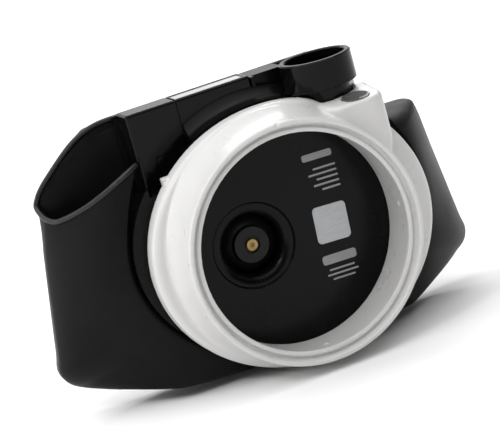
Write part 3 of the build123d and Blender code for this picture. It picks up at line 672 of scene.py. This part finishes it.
def build_back_pad():
    obj = copy_of("back_pad", "back_pad_cushion", LEATHER)
    centre = (PAD[0] + PAD[1]) / 2
    for vertex in obj.data.vertices:
        share = min(1.0, max(0.0, (58 * MM - vertex.co.z) / (20 * MM)))
        if vertex.co.x < -90 * MM and vertex.co.z > 60 * MM:
            vertex.co += Vector((-1.6, 0, 1.6)) * MM
        vertex.co.x = centre.x + (vertex.co.x - centre.x) * (1 - 0.015 * share)
        vertex.co.z = centre.z + (vertex.co.z - centre.z) * (1 - 0.015 * share)
    remesh(obj, PAD_VOXEL)
    inflate(obj, PAD_SWELL)
    smooth(obj, 0.5, 4)
    refine = obj.modifiers.new("refine", "SUBSURF")
    refine.levels = 1
    apply_modifiers(obj)
    for vertex in obj.data.vertices:
        point = vertex.co
        middle = pad_front_y(point.x) + 4 * MM
        if point.y > middle:
            vertex.co.y -= channel_depth(point)
    for polygon in obj.data.polygons:
        polygon.use_smooth = True
    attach(obj, "unit")
    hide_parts("back_pad")
    return obj


# ---------------------------------------------------------------- print on the cup's floor


def rounded_bar(vertices, faces, centre, width, height, corner, y, tilt):
    """Add a flat bar with rounded corners, facing the front, to a mesh in the making."""
    steps = 6
    ring = []
    for sx, sz, begin in ((1, 1, 0), (-1, 1, 90), (-1, -1, 180), (1, -1, 270)):
        for i in range(steps + 1):
            angle = math.radians(begin + 90 * i / steps)
            x = sx * (width / 2 - corner) + corner * math.cos(angle)
            z = sz * (height / 2 - corner) + corner * math.sin(angle)
            ring.append((x, z))
    base = len(vertices)
    thick = 0.12 * MM
    for depth in (y - thick, y):
        for x, z in ring:
            turned_x = x * math.cos(tilt) - z * math.sin(tilt)
            turned_z = x * math.sin(tilt) + z * math.cos(tilt)
            vertices.append((centre[0] + turned_x, depth, centre[1] + turned_z))
    count = len(ring)
    faces.append(tuple(base + i for i in range(count)))
    for i in range(count):
        j = (i + 1) % count
        faces.append((base + i, base + count + i, base + count + j, base + j))


def build_print():
    """Plain bars where the real unit carries wording."""
    vertices, faces = [], []
    y = PLATE[0].y - 0.02 * MM
    tilt = math.radians(-2)
    bars = [((33.5, 43.0), 21.0, 4.6, 1.4)]
    for i, (width, shift) in enumerate(((16, 0), (20, 2), (15, -0.5), (18, 1), (13, -1.5))):
        bars.append(((36.5 - shift, 34.5 - 3.6 * i), width, 1.3, 0.5))
    bars += [((31.0, -26.0), 24.0, 6.2, 2.0)]
    bars += [((31.0, -33.0 - 3.2 * i), width, 1.2, 0.5) for i, width in enumerate((18, 22, 16))]
    for (x, z), width, height, corner in bars:
        rounded_bar(vertices, faces, (x * MM, z * MM), width * MM, height * MM, corner * MM, y, tilt)
    obj = mesh_object("floor_print", vertices, faces, PRINT, smooth=False)
    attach(obj, "unit")
    return obj


# ---------------------------------------------------------------- welts


BACK_EDGE = [
    Vector(p) * MM
    for p in (
        (-140.9, 94.8, 57.6),
        (-138.6, 94.8, 63.4),
        (-133.4, 94.0, 70.0),
        (-124.0, 92.4, 78.6),
        (-114.0, 90.8, 87.0),
        (-106.0, 89.6, 92.6),
        (-98.0, 88.4, 96.6),
        (-89.0, 87.2, 99.0),
        (-79.0, 85.9, 99.8),
        (-60.0, 84.4, 99.9),
        (-20.0, 83.2, 99.9),
        (30.0, 83.8, 99.9),
        (64.0, 86.2, 99.4),
    )
]


WELT_R = 1.9 * MM
SEAM_R = 0.55 * MM
ROLL_SECTION = (
    (0.4, 0.6), (0.2, 3.4), (1.0, 6.4), (4.5, 7.6), (8.0, 7.2), (8.4, 3.6), (8.0, 0.8), (4.0, -0.2),
)
ROLL_RINGS = 110
LOW_END = (
    (-129.5, 92.0, 22.0), (-134.0, 91.5, 32.0), (-136.8, 91.0, 41.0), (-138.4, 91.6, 49.0),
)


def build_edge_roll():
    """Band that closes the gap between the pocket's welt and the pad behind it."""
    middle = Vector((-50 * MM, 88 * MM, 10 * MM))
    path = even_path([Vector(p) * MM for p in LOW_END] + BACK_EDGE, ROLL_RINGS)
    vertices, faces = [], []
    for point in path:
        inward = Vector((middle.x - point.x, 0, middle.z - point.z)).normalized()
        back = Vector((0, 1, 0))
        for across, along in ROLL_SECTION:
            vertices.append(point + inward * across * MM + back * along * MM)
    ring = len(ROLL_SECTION)
    for i in range(len(path) - 1):
        for j in range(ring):
            k = (j + 1) % ring
            faces.append((i * ring + j, i * ring + k, (i + 1) * ring + k, (i + 1) * ring + j))
    faces.append(tuple(range(ring)))
    faces.append(tuple(reversed(range((len(path) - 1) * ring, len(path) * ring))))
    roll = mesh_object("pocket_edge_roll", vertices, faces, LEATHER)
    refine = roll.modifiers.new("refine", "SUBSURF")
    refine.levels = 1
    apply_modifiers(roll)
    for polygon in roll.data.polygons:
        polygon.use_smooth = True
    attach(roll, "unit")


def build_welts(rim):
    """Turned edge of the pocket, from the front rim round the tip and along the back wall."""
    middle = Vector((-50 * MM, 88 * MM, 10 * MM))
    back = [p + (middle - p).normalized() * 0.5 * MM for p in BACK_EDGE]
    path = [p + Vector((0, 0, 0.2 * MM)) for p in rim[2:ROWS_FRONT:3]] + back
    welt = tube("pocket_welt", even_path(path, 260), WELT_R, WORN_EDGE, 14)
    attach(welt, "unit")
    seam = [p + Vector((3.4 * MM, -0.4 * MM, -4.6 * MM)) for p in BACK_EDGE[:9]]
    line = tube("pocket_seam", even_path(seam, 120), SEAM_R, LEATHER, 8)
    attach(line, "unit")


# ---------------------------------------------------------------- the casing's blended boss


def blend_weight(point):
    """How freely a point of the casing may be smoothed: most where the boss meets the flare."""
    x, y, z = point.x / MM, point.y / MM, point.z / MM
    radius = math.hypot(x, z)
    inside = x > 32 and z > 24 and y < 40.3 and radius > 79.6
    button = math.hypot(x - 62.9, y - 18.0) < 13 and z > 70
    if not inside or button or y < 3:
        return 0.0
    fade = min(1.0, (radius - 79.6) / 1.5, (y - 3) / 4, (40.3 - y) / 3, (x - 32) / 8, (z - 24) / 8)
    return max(fade, 0.0)


CASING_VOXEL = 0.85 * MM
BLEND_REPEATS = 24


def build_casing():
    obj = copy_of("front_casing", "front_casing_shell", WHITE)
    remesh(obj, CASING_VOXEL)
    snap = obj.modifiers.new("snap", "SHRINKWRAP")
    snap.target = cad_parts["front_casing"]
    snap.wrap_method = "NEAREST_SURFACEPOINT"
    apply_modifiers(obj)
    smooth(obj, 0.5, 2)
    group = obj.vertex_groups.new(name="blend")
    for vertex in obj.data.vertices:
        weight = blend_weight(vertex.co)
        if weight > 0:
            group.add([vertex.index], weight, "REPLACE")
    modifier = obj.modifiers.new("blend", "SMOOTH")
    modifier.factor = 0.5
    modifier.iterations = BLEND_REPEATS
    modifier.vertex_group = "blend"
    apply_modifiers(obj)
    for polygon in obj.data.polygons:
        polygon.use_smooth = True
    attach(obj, "unit")
    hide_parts("front_casing")


# ---------------------------------------------------------------- studio

YAW = math.radians(16.96)
ELEVATION = math.radians(13.17)
ROLL = math.radians(15.41)
DISTANCE = 1.5818
PAN = (0.03598, -0.01215)
LENS = 180.0


def build_camera():
    level = math.cos(ELEVATION)
    back = Vector((-math.sin(YAW) * level, -math.cos(YAW) * level, math.sin(ELEVATION)))
    right = Vector((0, 0, 1)).cross(back).normalized()
    up = back.cross(right)
    x_axis = right * math.cos(ROLL) - up * math.sin(ROLL)
    y_axis = right * math.sin(ROLL) + up * math.cos(ROLL)
    location = back * DISTANCE - x_axis * PAN[0] - y_axis * PAN[1]
    data = bpy.data.cameras.new("camera")
    data.lens = LENS
    data.sensor_width = 36.0
    data.clip_start = 0.05
    data.clip_end = 100.0
    camera = bpy.data.objects.new("camera", data)
    bpy.context.scene.collection.objects.link(camera)
    rotation = Matrix((x_axis, y_axis, back)).transposed()
    camera.matrix_world = Matrix.Translation(location) @ rotation.to_4x4()
    bpy.context.scene.camera = camera


def area_light(name, location, target, size, power, color=(1, 1, 1)):
    data = bpy.data.lights.new(name, "AREA")
    data.shape = "RECTANGLE"
    data.size, data.size_y = size
    data.energy = power
    data.color = color
    obj = bpy.data.objects.new(name, data)
    obj.location = location
    obj.rotation_mode = "QUATERNION"
    obj.rotation_quaternion = (Vector(target) - Vector(location)).to_track_quat("-Z", "Y")
    bpy.context.scene.collection.objects.link(obj)


def build_world():
    """Even surroundings, brightest above and behind and darker in front, as in a light tent."""
    world = bpy.data.worlds.new("studio")
    bpy.context.scene.world = world
    world.use_nodes = True
    tree = world.node_tree
    background = tree.nodes["Background"]
    coordinates = tree.nodes.new("ShaderNodeTexCoord")
    split = tree.nodes.new("ShaderNodeSeparateXYZ")
    tree.links.new(coordinates.outputs["Generated"], split.inputs["Vector"])
    toward = math_node(tree, "MULTIPLY", split.outputs["Z"], 0.55)
    toward = math_node(tree, "ADD", toward, math_node(tree, "MULTIPLY", split.outputs["Y"], 0.75))
    toward = math_node(tree, "ADD", toward, math_node(tree, "MULTIPLY", split.outputs["X"], -0.4))
    place = remap(tree, toward, 0.0, 1.0, -0.9, 0.7)
    shaped = math_node(tree, "POWER", place, 2.2)
    ramp = color_ramp(tree, shaped, (0.03, 0.03, 0.032), (1.0, 1.0, 1.0))
    tree.links.new(ramp, background.inputs["Color"])
    background.inputs["Strength"].default_value = 1.0


def build_floor():
    half = 30.0
    z = FLOOR_Z - 0.2 * MM
    corners = [(-half, -half, z), (half, -half, z), (half, half, z), (-half, half, z)]
    material, tree, shader = new_material("pale_floor")
    tone = noise_node(tree, object_coordinates(tree), 3, 2, 0.5)
    shade = color_ramp(tree, tone, (0.88, 0.88, 0.88), (0.92, 0.92, 0.92))
    tree.links.new(shade, shader.inputs["Base Color"])
    shader.inputs["Roughness"].default_value = 0.9
    shader.inputs["Specular IOR Level"].default_value = 0.1
    floor = mesh_object("floor", corners, [(0, 1, 2, 3)], material, smooth=False)


def sun(name, direction, strength, spread):
    data = bpy.data.lights.new(name, "SUN")
    data.energy = strength
    data.angle = math.radians(spread)
    obj = bpy.data.objects.new(name, data)
    obj.rotation_mode = "QUATERNION"
    obj.rotation_quaternion = Vector(direction).to_track_quat("-Z", "Y")
    bpy.context.scene.collection.objects.link(obj)


def build_lights():
    sun("overhead", (0.15, 0.25, -1.0), 1.95, 85)
    area_light("key", (-1.1, -0.9, 1.3), (-0.05, 0.05, 0.03), (0.25, 0.25), 6)
    area_light("side_strip", (-1.5, 0.45, 0.5), (-0.1, 0.06, 0.05), (0.1, 0.8), 4)
    area_light("rear_strip", (0.3, 1.4, 0.9), (0, 0.05, 0.05), (1.4, 0.2), 8)
    scene = bpy.context.scene
    scene.view_settings.view_transform = "Standard"
    scene.view_settings.look = "None"
    scene.view_settings.exposure = 0.0


paint_nodes()
cover, rim_line = build_cover_front()
build_back_pad()
build_welts(rim_line)
build_edge_roll()
build_casing()
build_print()
build_world()
build_floor()
build_lights()
build_camera()
